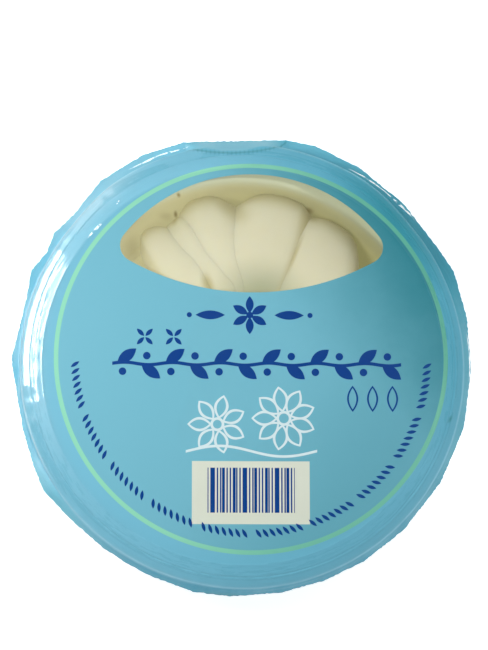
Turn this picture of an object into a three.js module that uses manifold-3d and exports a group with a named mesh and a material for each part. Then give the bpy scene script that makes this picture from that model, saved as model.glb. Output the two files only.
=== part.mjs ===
// A lily bulb in its sealed round pack: the bulb lies on a shallow tray, and two films close it in.
// Millimetres, +Z up. The origin is the middle of the base, on the surface that the pack rests on.
import * as THREE from 'three';
import { mergeVertices } from 'three/addons/utils/BufferGeometryUtils.js';
import Module from 'manifold-3d';

const wasm = await Module();
wasm.setup();

// Film and clearances
const FILM = 0.4;
const GAP = 0.3;
const TURN_STEPS = 60;

// Pack body
const BODY_RADIUS = 65.7;
const BASE_RADIUS = 47.5;
const WALL_FOOT = [50.2, 1.2];
const SEAL_Z = 21.6;
const WEB_HOLE_RADIUS = 65.4;

// Outer face of the lid film, from the middle out to its skirt: [radius, height]
const LID_CROWN = [[0, 31.0], [30, 31.05], [48, 31.25], [54, 31.55], [57.5, 31.75]];
const LID_SHOULDER = [[60.6, 31.3], [62.6, 30.1], [64.6, 26.9], [BODY_RADIUS, 23.6]];
const LID_SHOULDER_INSIDE = [[60.5, 30.92], [62.3, 29.8], [64.25, 26.75], [BODY_RADIUS - FILM, 23.55]];

// Trimmed edge of the two films where they are sealed together: [degrees, radius]
const SEAL_CORNERS = [
  [0, 67.8], [13, 68.5], [25, 69.5], [32, 68.7], [46, 69.2], [60, 69.9], [72, 70.4], [79, 69.9],
  [104.5, 69.9], [115, 70.3], [127, 69.9], [137, 67.6], [144.5, 68.5], [149.5, 67.1], [155.5, 68.5],
  [161, 67.0], [170, 66.6], [178, 67.9], [185, 66.6], [196, 66.8], [206, 67.6], [212, 68.4],
  [221, 67.2], [233, 66.7], [246, 66.7], [257.5, 67.2], [267, 67.1], [280, 66.8], [291, 66.8],
  [302, 67.0], [315, 67.1], [330, 67.3], [345, 67.7],
];

// Clear window in the lid film: a lens between two arcs, with rounded tips
const WINDOW_X = 2.4;
const WINDOW_UPPER = { y: 8.6, radius: 47.4 };
const WINDOW_LOWER = { y: 95.2, radius: 74.2 };
const WINDOW_TIP_RADIUS = 5;
const WINDOW_ARC_STEPS = 26;
const WINDOW_TIP_STEPS = 6;

// Tray: [radius, height], up the inside, over the rim and back down the outside
const TRAY_INSIDE = [[0, 1.6], [46.6, 1.6], [49.6, 2.9], [53.9, 28.6]];
const TRAY_RIM = [
  [54.7, 30.2], [57.2, 31.0], [60.2, 30.6], [62.0, 29.5], [63.9, 26.6], [65.0, 23.4], [65.0, 22.8],
  [64.2, 22.8], [63.2, 26.2], [61.4, 28.8], [60.0, 29.7], [57.4, 30.2], [55.4, 29.6],
];
const TRAY_OUTSIDE = [[54.7, 28.4], [50.3, 2.5], [46.9, 0.8], [0, 0.8]];

// Bulb
const BULB_X = 0.5;
const BULB_Y = 8;
const PLATE_PROFILE = [[0, 2.3], [6.5, 2.3], [9.2, 3.8], [8.6, 6.2], [5.0, 7.4], [0, 7.4]];
const HEART_PROFILE = [
  [0, 9.2], [5.2, 10.2], [8.6, 13.0], [9.0, 16.6], [7.6, 20.4], [4.6, 24.2], [1.6, 26.9], [0, 27.6],
];
const HEART_STEPS = 24;
const SCALE_SECTION_STEPS = 12;
const SCALE_LENGTH_STEPS = 10;
const SCALE_SIDE_FULLNESS = 0.3;
const SCALE_EDGE_GAP_DEG = 0.55;

// Line down the middle of a scale, from its root on the plate, out round the bulge and up to its tip
const OUTER_ROW = {
  line: [[10.5, 6.6], [43.5, -1.2], [59.5, 34.0], [10.5, 25.8]],
  halfThickness: 3.7,
};
const SECOND_ROW = {
  line: [[10.5, 13.2], [34.5, 10.4], [46.0, 24.2], [10.5, 18.6]],
  halfThickness: 2.6,
};

// Scales under the window: [middle in degrees, half width in degrees, bulge as a share of the row's]
const WINDOW_SCALES = [
  [50.3, 12.3, 0.975], [78.3, 15.7, 0.965], [105, 11, 0.968], [119.9, 3.9, 0.94], [133.8, 10, 0.97],
];
const OTHER_OUTER_SCALES = 10;
const OUTER_BULGE = { middle: 0.965, swing: 0.022, turn: 2.3 };
const SECOND_SCALES = 10;
const SECOND_BULGE = { middle: 0.955, swing: 0.018, turn: 1.7 };

const LABEL_BLUE = '#70b6c6';
const CLEAR_FILM = '#dbe6e2';
const TRAY_CREAM = '#c9c8a4';
const SCALE_CREAM = '#dedbb9';
const PLATE_TAN = '#c3b58a';

function finish(colour, roughness) {
  return new THREE.MeshStandardMaterial({ color: colour, roughness, metalness: 0 });
}

function radians(degrees) {
  return THREE.MathUtils.degToRad(degrees);
}

function piece(name, geometry, material) {
  const mesh = new THREE.Mesh(geometry, material);
  mesh.name = name;
  return mesh;
}

// A closed profile turned about the pack's upright axis.
function turned(profile, steps = TURN_STEPS) {
  const points = profile.map(([radius, height]) => new THREE.Vector2(radius, height));
  const geometry = new THREE.LatheGeometry(points, steps);
  geometry.rotateX(Math.PI / 2);
  return geometry;
}

function solid(geometry) {
  const bare = geometry.clone();
  bare.deleteAttribute('normal');
  bare.deleteAttribute('uv');
  const merged = mergeVertices(bare, 1e-3);
  const corners = [];
  const index = merged.index.array;
  for (let i = 0; i < index.length; i += 3) {
    const triangle = [index[i], index[i + 1], index[i + 2]];
    if (new Set(triangle).size === 3) corners.push(...triangle);
  }
  return new wasm.Manifold(new wasm.Mesh({
    numProp: 3,
    vertProperties: new Float32Array(merged.attributes.position.array),
    triVerts: new Uint32Array(corners),
  }));
}

function surface(body) {
  const mesh = body.getMesh();
  const geometry = new THREE.BufferGeometry();
  geometry.setAttribute('position', new THREE.BufferAttribute(new Float32Array(mesh.vertProperties), 3));
  geometry.setIndex(new THREE.BufferAttribute(new Uint32Array(mesh.triVerts), 1));
  geometry.computeVertexNormals();
  return geometry;
}

function arc(centre, radius, start, end, steps) {
  const points = [];
  for (let i = 0; i < steps; i += 1) {
    const angle = start + (end - start) * (i / steps);
    points.push(new THREE.Vector2(centre.x + radius * Math.cos(angle), centre.y + radius * Math.sin(angle)));
  }
  return points;
}

// The window's outline, drawn in by a clearance.
function windowOutline(clearance) {
  const upper = { x: WINDOW_X, y: WINDOW_UPPER.y };
  const lower = { x: WINDOW_X, y: WINDOW_LOWER.y };
  const reachUpper = WINDOW_UPPER.radius - WINDOW_TIP_RADIUS;
  const reachLower = WINDOW_LOWER.radius - WINDOW_TIP_RADIUS;
  const apart = lower.y - upper.y;
  const rise = (reachUpper ** 2 - reachLower ** 2 + apart ** 2) / (2 * apart);
  const halfWidth = Math.sqrt(reachUpper ** 2 - rise ** 2);
  const upperTurn = Math.atan2(rise, halfWidth);
  const lowerTurn = Math.atan2(apart - rise, halfWidth);
  const left = { x: upper.x - halfWidth, y: upper.y + rise };
  const right = { x: upper.x + halfWidth, y: upper.y + rise };
  const tip = WINDOW_TIP_RADIUS - clearance;
  return [
    ...arc(upper, WINDOW_UPPER.radius - clearance, upperTurn, Math.PI - upperTurn, WINDOW_ARC_STEPS),
    ...arc(left, tip, Math.PI - upperTurn, Math.PI + lowerTurn, WINDOW_TIP_STEPS),
    ...arc(lower, WINDOW_LOWER.radius - clearance, Math.PI + lowerTurn, 2 * Math.PI - lowerTurn, WINDOW_ARC_STEPS),
    ...arc(right, tip, -lowerTurn, upperTurn, WINDOW_TIP_STEPS),
  ];
}

function windowPrism(clearance) {
  const prism = new THREE.ExtrudeGeometry(new THREE.Shape(windowOutline(clearance)), {
    depth: 2 * SEAL_Z,
    bevelEnabled: false,
  });
  prism.translate(0, 0, SEAL_Z);
  return solid(prism);
}

// The flat web of film outside the body, one film thick, from the skirt out to the trimmed edge.
function sealWeb(bottom) {
  const edge = SEAL_CORNERS.map(([degrees, radius]) => new THREE.Vector2(
    radius * Math.cos(radians(degrees)),
    radius * Math.sin(radians(degrees)),
  ));
  const web = new THREE.Shape(edge);
  web.holes.push(new THREE.Path(arc({ x: 0, y: 0 }, WEB_HOLE_RADIUS, 0, 2 * Math.PI, TURN_STEPS)));
  const geometry = new THREE.ExtrudeGeometry(web, { depth: FILM, bevelEnabled: false });
  geometry.translate(0, 0, bottom);
  return solid(geometry);
}

// The lid film's shell: over the crown, down the shoulder, and back up one film thickness inside.
function lidShell() {
  const skirtBottom = SEAL_Z + GAP;
  const inside = [
    ...LID_CROWN.map(([radius, height]) => [radius, height - FILM]),
    ...LID_SHOULDER_INSIDE,
    [BODY_RADIUS - FILM, skirtBottom],
  ];
  const outside = [...LID_CROWN, ...LID_SHOULDER, [BODY_RADIUS, skirtBottom]];
  return solid(turned([...inside, ...outside.reverse()]));
}

function lidFilms() {
  const shell = lidShell();
  const printed = shell.add(sealWeb(SEAL_Z + GAP / 2)).subtract(windowPrism(0));
  const clear = shell.intersect(windowPrism(GAP));
  return [
    piece('printed_lid_film', surface(printed), finish(LABEL_BLUE, 0.3)),
    piece('clear_window_film', surface(clear), finish(CLEAR_FILM, 0.15)),
  ];
}

function baseFilm() {
  const webTop = SEAL_Z - GAP / 2;
  const lip = webTop - GAP / 3;
  const shell = solid(turned([
    [0, 0], [BASE_RADIUS, 0], WALL_FOOT, [BODY_RADIUS, lip], [BODY_RADIUS - 1.2 * FILM, lip],
    [WALL_FOOT[0] - FILM, WALL_FOOT[1] + FILM], [BASE_RADIUS, FILM], [0, FILM],
  ]));
  return piece('base_film', surface(shell.add(sealWeb(webTop - FILM))), finish(LABEL_BLUE, 0.35));
}

function tray() {
  const profile = [...TRAY_INSIDE, ...TRAY_RIM, ...TRAY_OUTSIDE].reverse();
  return piece('tray', turned(profile), finish(TRAY_CREAM, 0.4));
}

// One fleshy scale: a ball drawn out along the row's line, wide and full in the middle.
function scale(name, row, middleDeg, halfWidthDeg, bulge) {
  const ends = row.line.map(([radius, height], i) => new THREE.Vector2(i % 3 ? radius * bulge : radius, height));
  const line = new THREE.CubicBezierCurve(...ends);
  const geometry = new THREE.SphereGeometry(1, SCALE_SECTION_STEPS, SCALE_LENGTH_STEPS);
  const corners = geometry.attributes.position;
  const halfWidth = radians(halfWidthDeg - SCALE_EDGE_GAP_DEG);
  for (let i = 0; i < corners.count; i += 1) {
    const along = Math.acos(THREE.MathUtils.clamp(-corners.getY(i), -1, 1)) / Math.PI;
    const girth = Math.hypot(corners.getX(i), corners.getZ(i));
    const fullness = girth > 1e-6 ? girth ** SCALE_SIDE_FULLNESS / girth : 0;
    const middle = line.getPoint(along);
    const run = line.getTangent(along);
    const out = row.halfThickness * corners.getZ(i) * fullness;
    const radius = middle.x + run.y * out;
    const angle = radians(middleDeg) + halfWidth * corners.getX(i) * fullness;
    corners.setXYZ(i, radius * Math.cos(angle), radius * Math.sin(angle), middle.y - run.x * out);
  }
  geometry.translate(BULB_X, BULB_Y, 0);
  return piece(name, geometry, finish(SCALE_CREAM, 0.5));
}

// No two scales of a row bulge quite the same.
function uneven(bulge, i) {
  return bulge.middle + bulge.swing * Math.sin(bulge.turn * (i + 1));
}

function outerScales() {
  const scales = WINDOW_SCALES.map(([middle, halfWidth, bulge], i) => (
    scale(`outer_scale_${i + 1}`, OUTER_ROW, middle, halfWidth, bulge)
  ));
  const [first, last] = [WINDOW_SCALES[0], WINDOW_SCALES[WINDOW_SCALES.length - 1]];
  const start = last[0] + last[1];
  const pitch = (360 + first[0] - first[1] - start) / OTHER_OUTER_SCALES;
  for (let i = 0; i < OTHER_OUTER_SCALES; i += 1) {
    const name = `outer_scale_${WINDOW_SCALES.length + i + 1}`;
    scales.push(scale(name, OUTER_ROW, start + pitch * (i + 0.5), pitch / 2, uneven(OUTER_BULGE, i)));
  }
  return scales;
}

function secondScales() {
  const scales = [];
  const pitch = 360 / SECOND_SCALES;
  for (let i = 0; i < SECOND_SCALES; i += 1) {
    scales.push(scale(`second_scale_${i + 1}`, SECOND_ROW, pitch * i, pitch / 2, uneven(SECOND_BULGE, i)));
  }
  return scales;
}

function bulbMiddle() {
  const plate = turned(PLATE_PROFILE, HEART_STEPS);
  const heart = turned(HEART_PROFILE, HEART_STEPS);
  plate.translate(BULB_X, BULB_Y, 0);
  heart.translate(BULB_X, BULB_Y, 0);
  return [
    piece('basal_plate', plate, finish(PLATE_TAN, 0.8)),
    piece('heart_scales', heart, finish(SCALE_CREAM, 0.5)),
  ];
}

const pack = new THREE.Group();
pack.add(tray(), ...lidFilms(), baseFilm());
pack.add(...bulbMiddle(), ...secondScales(), ...outerScales());

export default pack;
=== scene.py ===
import math
import random
from functools import reduce

import bpy
import numpy as np
from mathutils import Matrix, Vector, noise


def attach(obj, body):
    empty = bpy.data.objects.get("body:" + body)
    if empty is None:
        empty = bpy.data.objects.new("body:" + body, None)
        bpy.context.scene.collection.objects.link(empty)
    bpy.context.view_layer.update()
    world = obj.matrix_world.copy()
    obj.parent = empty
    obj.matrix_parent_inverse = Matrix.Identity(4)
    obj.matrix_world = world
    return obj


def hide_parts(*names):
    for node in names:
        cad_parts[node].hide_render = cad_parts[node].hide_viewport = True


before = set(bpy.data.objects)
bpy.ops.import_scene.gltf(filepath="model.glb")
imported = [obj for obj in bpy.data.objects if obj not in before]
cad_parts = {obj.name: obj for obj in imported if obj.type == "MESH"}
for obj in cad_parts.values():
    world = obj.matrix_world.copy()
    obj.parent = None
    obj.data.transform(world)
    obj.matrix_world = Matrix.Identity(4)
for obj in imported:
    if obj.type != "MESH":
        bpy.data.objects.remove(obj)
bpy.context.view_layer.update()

# A lily bulb in its sealed round pack. Sizes are in millimetres until piece() turns them into metres, and the
# lights are placed in metres.

# ---- sizes
MM = 0.001

# Lid film: its crown, its stepped shoulder and skirt, and the flat web outside them
CROWN_RADIUS = 57.4
CROWN_MIDDLE_Z = 31.0
CROWN_RISE = 0.72
LID_SHOULDER = [
    (57.4, 31.72), (58.3, 31.70), (58.75, 31.56), (60.1, 31.12), (61.45, 30.6), (61.72, 30.36), (61.95, 30.3),
    (62.3, 30.2), (63.6, 29.25), (64.4, 28.5), (64.75, 27.8), (64.95, 26.6), (65.05, 24.8), (65.1, 23.2),
    (65.22, 22.4), (65.5, 22.04),
]
WEB_Z = 21.95
WEB_START = 65.5
LEAST_EDGE = 66.5
FILM = 0.16
AROUND = 640

# Trimmed edge of the two films where they are sealed together: (degrees, radius)
SEAL_CORNERS = [
    (0, 67.8), (13, 68.5), (25, 69.5), (32, 68.7), (46, 69.2), (60, 69.9), (72, 70.4), (79, 69.9),
    (104.5, 69.9), (115, 70.3), (127, 69.9), (137, 67.6), (144.5, 68.5), (149.5, 67.1), (155.5, 68.5),
    (161, 67.0), (170, 66.6), (178, 67.9), (185, 66.6), (196, 66.8), (206, 67.6), (212, 68.4),
    (221, 67.2), (233, 66.7), (246, 66.7), (257.5, 67.2), (267, 67.1), (280, 66.8), (291, 66.8),
    (302, 67.0), (315, 67.1), (330, 67.3), (345, 67.7),
]
JAG_DEPTH = 0.26

# Fold where the lid film leaves the shoulder and is pulled straight to the trimmed edge: (degrees, height)
FOLD = [
    (77.5, 22.0), (79.5, 23.6), (82.0, 26.4), (85.0, 28.3), (88.5, 29.6), (92.0, 29.95),
    (95.5, 29.8), (98.5, 29.0), (101.0, 27.4), (103.0, 24.6), (104.5, 22.0),
]
FOLD_START_Z = 22.0
FOLD_LIFT = 0.45
NEAR_FOLD_Z = 27.3
FAR_SIDE = (52, 128)
FAR_SWELL = 1.1

# Window: a lens between two arcs, with rounded tips
WINDOW_X = 2.4
WINDOW_UPPER_Y, WINDOW_UPPER_RADIUS = 8.6, 47.4
WINDOW_LOWER_Y, WINDOW_LOWER_RADIUS = 95.2, 74.2
WINDOW_TIP_RADIUS = 5.0
WINDOW_MIDDLE = np.array([WINDOW_X, 38.5])

# Print on the lid film, from the middle of its ring
PRINT_X, PRINT_Y = 2.3, 1.9
RING_RADIUS, RING_HALF_WIDTH = 56.65, 0.66

# Base film and tray
BASE_PROFILE = [
    (20, 0.0), (36.4, 0.0), (37.6, 0.35), (39.4, 0.35), (40.6, 0.0), (45.5, 0.0), (47.5, 0.0),
    (49.2, 0.45), (50.6, 1.75), (54.3, 6.4), (58.2, 11.4), (62.0, 16.2), (64.4, 19.6), (65.1, 21.0),
    (65.5, 21.6),
]
BASE_WEB_Z = 21.66
TRAY_PROFILE = [
    (30, 1.6), (45.8, 1.65), (47.6, 1.95), (49.0, 3.0), (49.8, 4.6), (51.8, 16.5), (53.4, 25.8),
    (53.75, 27.6), (54.2, 29.2), (54.9, 30.2), (55.9, 30.8), (57.2, 31.0), (58.8, 30.95), (60.2, 30.6),
    (61.2, 30.1), (61.9, 29.3), (62.9, 28.1), (63.7, 26.5), (64.3, 24.9), (64.6, 23.4), (64.6, 22.9),
    (64.2, 22.85), (63.9, 23.1), (63.0, 26.2), (61.2, 28.6), (60.0, 29.7), (57.4, 30.15), (55.6, 29.6),
    (55.1, 28.4), (54.4, 25.4), (52.6, 15.5), (50.4, 3.2), (48.6, 1.2), (46.9, 0.85),
]

# Bulb: where it stands, and the line down the middle of a scale: root, two pulls, tip. A bulge is the middle,
# swing and turn of the sizes of a row; NARROWED says how many degrees a scale gives up at each side.
BULB_X, BULB_Y = 0.5, 8.0
OUTER_LINE = ((10.5, 6.6), (43.5, -1.2), (59.5, 34.0), (10.5, 25.8))
OUTER_HALF_THICKNESS = 3.7
SECOND_LINE = ((10.5, 13.2), (34.5, 10.4), (46.0, 24.2), (10.5, 18.6))
SECOND_HALF_THICKNESS = 2.6
OTHER_OUTER_SCALES = 10
OTHERS_START, OTHERS_END = 143.8, 398.0
NARROWED = {0: (5.5, 0.0), OTHER_OUTER_SCALES - 1: (0.0, 10.0)}
OUTER_BULGE = (0.965, 0.022, 2.3)
SECOND_SCALES = 10
SECOND_BULGE = (0.955, 0.018, 1.7)
SCALE_AROUND = 40
SCALE_ALONG = 44
UNDER_RADIUS = 38.0
HEART_PROFILE = [
    (1.2, 9.3), (5.2, 10.3), (8.4, 13.0), (8.8, 16.6), (7.4, 20.4), (4.5, 24.2), (1.7, 26.8), (0.5, 27.4),
]
PLATE_PROFILE = [(1.0, 2.45), (6.3, 2.4), (8.6, 3.3), (9.0, 4.2), (8.5, 6.0), (6.4, 7.0), (1.0, 7.3)]

# ---- small helpers


def smooth_line(points, steps):
    """A curve through the points, with so many steps between each two."""
    held = [points[0], *points, points[-1]]
    line = []
    for before, start, end, after in zip(held, held[1:], held[2:], held[3:]):
        for i in range(steps):
            t = i / steps
            line.append(tuple(
                0.5 * (2 * b + (c - a) * t
                       + (2 * a - 5 * b + 4 * c - d) * t * t + (3 * b - a - 3 * c + d) * t ** 3)
                for a, b, c, d in zip(before, start, end, after)
            ))
    line.append(tuple(points[-1]))
    return line


def ripple(seed, *waves):
    """A closed wavy line round the pack: each wave is how many there are and how high."""
    draw = random.Random(seed)
    phased = [(count, height, draw.uniform(0, math.tau)) for count, height in waves]
    return lambda angle: sum(height * np.sin(count * angle + phase) for count, height, phase in phased)


def step_up(value, start, end):
    """0 before start, 1 after end, and a smooth rise between."""
    t = np.clip((value - start) / (end - start), 0, 1)
    return t * t * (3 - 2 * t)


def thickened(points, faces, thickness):
    """A sheet's face, its back behind it and the cut edges round them, as points and three lists of faces."""
    points = np.array(points, dtype=float)
    normals = np.zeros_like(points)
    for face in faces:
        a, b, c, d = (points[i] for i in (face[0], face[1], face[-2], face[-1]))
        normals[list(face)] += np.cross(c - a, d - b) if len(face) == 4 else np.cross(b - a, d - a)
    normals /= np.maximum(np.linalg.norm(normals, axis=1, keepdims=True), 1e-12)
    count = len(points)
    edges = {(face[i - 1], face[i]) for face in faces for i in range(len(face))}
    back = [tuple(i + count for i in reversed(face)) for face in faces]
    cut = [(b, a, a + count, b + count) for a, b in sorted(edges) if (b, a) not in edges]
    return np.vstack([points, points - normals * thickness]), (faces, back, cut)


def placed(name, data):
    """A new object in the scene."""
    made = bpy.data.objects.new(name, data)
    bpy.context.scene.collection.objects.link(made)
    return made


def piece(name, points, face_lists, materials, node):
    """A mesh piece that stands for a node of the frame; each list of faces has its own material."""
    mesh = bpy.data.meshes.new(name)
    mesh.from_pydata(np.array(points, dtype=float) * MM, [], [face for faces in face_lists for face in faces])
    mesh.update()
    for material in dict.fromkeys(materials):
        mesh.materials.append(material)
    worn = [list(mesh.materials).index(m) for m, faces in zip(materials, face_lists) for face in faces]
    mesh.polygons.foreach_set("material_index", worn)
    mesh.polygons.foreach_set("use_smooth", [True] * len(mesh.polygons))
    mesh.set_sharp_from_angle(angle=math.radians(60))
    made = placed(name, mesh)
    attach(made, "root")
    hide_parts(node)
    return made


def ringed(rings, close_start=False, close_end=False, flipped=False):
    """Points and faces of a skin through rings of points; an end may close on its middle."""
    count = len(rings[0])
    last = (len(rings) - 1) * count
    points = [tuple(p) for ring in rings for p in ring]
    faces = []
    for low in range(0, last, count):
        for i in range(count):
            j = (i + 1) % count
            faces.append((low + i, low + j, low + count + j, low + count + i))
    for closed, first, onward in ((close_start, 0, False), (close_end, last, True)):
        if closed:
            middle = len(points)
            points.append(tuple(np.mean(points[first:first + count], axis=0)))
            for i in range(count):
                edge = (first + i, first + (i + 1) % count)
                faces.append((*edge, middle) if onward else (*edge[::-1], middle))
    if flipped:
        faces = [face[::-1] for face in faces]
    return points, faces


AZIMUTHS = np.linspace(0, math.tau, AROUND, endpoint=False)
DEGREES = np.degrees(AZIMUTHS)


def circle_ring(radius, height):
    """A ring round the pack's axis; radius and height may differ from azimuth to azimuth."""
    radius, height = np.broadcast_to(radius, AROUND), np.broadcast_to(height, AROUND)
    return np.stack([radius * np.cos(AZIMUTHS), radius * np.sin(AZIMUTHS), height], axis=1)


CROWN_RIM = circle_ring(CROWN_RADIUS, 0)[:, :2]


def trimmed_edge():
    """Radius of the films' cut edge at each azimuth: straight cuts between corners, finely jagged."""
    corners = [(math.radians(a), r) for a, r in SEAL_CORNERS]
    corners.append((corners[0][0] + math.tau, corners[0][1]))
    edge = np.zeros(AROUND)
    for (a, ra), (b, rb) in zip(corners, corners[1:]):
        inside = (AZIMUTHS >= a) & (AZIMUTHS < b)
        along = AZIMUTHS[inside]
        edge[inside] = ra * rb * math.sin(b - a) / (ra * np.sin(along - a) + rb * np.sin(b - along))
    draw = random.Random(17)
    jags = np.array([draw.uniform(0, JAG_DEPTH) for _ in range(AROUND)])
    return np.maximum(edge, LEAST_EDGE) - jags


# ---- lid film and window


def window_outline(clearance=0.0, steps=90):
    """The window's outline, drawn in by a clearance."""
    upper_reach = WINDOW_UPPER_RADIUS - WINDOW_TIP_RADIUS
    lower_reach = WINDOW_LOWER_RADIUS - WINDOW_TIP_RADIUS
    apart = WINDOW_LOWER_Y - WINDOW_UPPER_Y
    rise = (upper_reach ** 2 - lower_reach ** 2 + apart ** 2) / (2 * apart)
    half_width = math.sqrt(upper_reach ** 2 - rise ** 2)
    upper_turn = math.atan2(rise, half_width)
    lower_turn = math.atan2(apart - rise, half_width)
    tip_y = WINDOW_UPPER_Y + rise
    arcs = (
        (WINDOW_X, WINDOW_UPPER_Y, WINDOW_UPPER_RADIUS, upper_turn, math.pi - upper_turn),
        (WINDOW_X - half_width, tip_y, WINDOW_TIP_RADIUS, math.pi - upper_turn, math.pi + lower_turn),
        (WINDOW_X, WINDOW_LOWER_Y, WINDOW_LOWER_RADIUS, math.pi + lower_turn, math.tau - lower_turn),
        (WINDOW_X + half_width, tip_y, WINDOW_TIP_RADIUS, -lower_turn, upper_turn),
    )
    points = []
    for x, y, radius, start, end in arcs:
        for angle in np.linspace(start, end, steps, endpoint=False):
            reach = radius - clearance
            points.append((x + reach * math.cos(angle), y + reach * math.sin(angle)))
    return np.array(points)


def window_ring(clearance=0.0):
    """The window's outline again, one point towards each point of the crown's edge."""
    around = window_outline(clearance) - WINDOW_MIDDLE
    angles = np.arctan2(around[:, 1], around[:, 0])
    order = np.argsort(angles)
    rim = CROWN_RIM - WINDOW_MIDDLE
    wanted = np.arctan2(rim[:, 1], rim[:, 0])
    reach = np.interp(wanted, angles[order], np.hypot(*around.T)[order], period=math.tau)
    return WINDOW_MIDDLE + np.stack([reach * np.cos(wanted), reach * np.sin(wanted)], axis=1)


def on_crown(flat):
    """Points of the plan, lifted to the lid film's crown."""
    radius = np.hypot(flat[:, 0], flat[:, 1])
    wave = np.array([noise.noise(Vector((x / 23, y / 23, 4.0))) for x, y in flat])
    fade = 1 - step_up(radius, 50, CROWN_RADIUS)
    height = CROWN_MIDDLE_Z + CROWN_RISE * (radius / CROWN_RADIUS) ** 3 + 0.10 * wave * fade
    return np.column_stack([flat, height])


def let_out(radius):
    """Radii of the shoulder and its wall, which stand out a little at the far side."""
    start, end = FAR_SIDE
    far = step_up(DEGREES, start - 14, start + 6) * (1 - step_up(DEGREES, end - 6, end + 14))
    return radius + FAR_SWELL * far * step_up(radius, 60.5, 64.8)


def fold_line():
    """At each azimuth: the fold's height, how far it lifts the trimmed edge, and 1 where there is a fold."""
    degrees, heights = zip(*smooth_line(FOLD, 4))
    fold_z = np.interp(DEGREES, degrees, heights)
    lifted = FOLD_LIFT * step_up(fold_z, FOLD_START_Z, 27.0)
    near = np.maximum(step_up(DEGREES, 195, 235), 1 - step_up(DEGREES, 5, 35))
    fold_z = np.maximum(fold_z, WEB_Z + (NEAR_FOLD_Z - WEB_Z) * near)
    return fold_z, lifted, step_up(fold_z, FOLD_START_Z, 23.2)


def pulled_straight(radius, height, edge):
    """Heights of a ring of the lid film, which runs straight from its fold to the trimmed edge."""
    fold_z, lifted, folded = fold_line()
    shoulder_radii, shoulder_heights = zip(*LID_SHOULDER)
    fold = let_out(np.interp(-fold_z, [-z for z in shoulder_heights], shoulder_radii))
    run = np.clip((radius - fold) / np.maximum(edge - fold, 0.1), 0, 1)
    drop = fold_z + (WEB_Z + lifted - fold_z) * run
    return np.where(radius > fold, height + (drop - height) * folded, height)


def shoulder_rings(edge):
    rings = []
    sway = ripple(5, (2, 0.10), (3, 0.08), (7, 0.06))
    gathers = ripple(8, (37, 0.05), (61, 0.045), (83, 0.03))
    for radius, height in smooth_line(LID_SHOULDER, 3)[1:]:
        soft = step_up(radius, 58, 64.5)
        wavy = height + gathers(AZIMUTHS) * soft
        out = let_out(radius)
        rings.append(circle_ring(out + sway(AZIMUTHS) * soft * 0.6, pulled_straight(out, wavy, edge)))
    return rings


def web_ring_set(edge, height, rings=5):
    """Rings of the seal from the body out to the trimmed edge, with the height each has there."""
    wave = ripple(21, (5, 0.10), (13, 0.12), (29, 0.10), (47, 0.05))
    _, lifted, folded = fold_line()
    lift = wave(AZIMUTHS) * (1 - folded) + (lifted - FILM * 1.5) * folded
    for i in range(1, rings + 1):
        out = i / rings
        yield let_out(WEB_START) * (1 - out) + edge * out, height + lift * out


def lid_film(print_side, inner_side, cut_side):
    edge = trimmed_edge()
    hole = window_ring()
    rings = [on_crown(hole + (CROWN_RIM - hole) * t) for t in np.linspace(0, 1, 10)]
    rings += shoulder_rings(edge)
    rings += [circle_ring(r, pulled_straight(r, z, edge)) for r, z in web_ring_set(edge, WEB_Z + 0.05)]
    points, faces = thickened(*ringed(rings, flipped=True), FILM)
    sides = (print_side, inner_side, cut_side)
    return piece("lid_film", points, faces, sides, "printed_lid_film")


def window_film(material):
    spokes = window_ring(0.05) - WINDOW_MIDDLE
    rings = [on_crown(WINDOW_MIDDLE + spokes * t) for t in np.linspace(0.04, 1, 10)]
    points, faces = thickened(*ringed(rings, close_start=True, flipped=True), FILM)
    return piece("window_film", points, faces, (material,) * 3, "clear_window_film")


# ---- base film and tray


def base_film(print_side, inner_side, cut_side):
    edge = trimmed_edge()
    pleats = ripple(31, (19, 0.28), (31, 0.22), (53, 0.14))
    creases = ripple(37, (90, 0.09), (141, 0.06))
    rings = []
    for radius, height in smooth_line(BASE_PROFILE, 3):
        on_wall = step_up(radius, 49, 55) * (1 - step_up(radius, 63, 65.9))
        near_foot = step_up(radius, 40, 48) * (1 - step_up(radius, 50, 60))
        drawn_in = (pleats(AZIMUTHS) - 0.3) * on_wall + creases(AZIMUTHS) * near_foot
        rings.append(circle_ring(radius + drawn_in * 0.8, np.maximum(height - drawn_in * 0.3 * on_wall, 0)))
    rings += [circle_ring(r, z) for r, z in web_ring_set(edge, BASE_WEB_Z)]
    points, faces = thickened(*ringed(rings, close_start=True), FILM)
    return piece("under_film", points, faces, (print_side, inner_side, cut_side), "base_film")


def tray(material):
    profile = smooth_line(TRAY_PROFILE, 2)
    wobble = ripple(41, (3, 0.05), (5, 0.04))
    rings = [circle_ring(r + wobble(AZIMUTHS) * step_up(r, 40, 50), z) for r, z in profile]
    points, faces = ringed(rings, close_start=True, close_end=True, flipped=True)
    return piece("tray_shell", points, (faces,), (material,), "tray")


# ---- bulb

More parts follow.
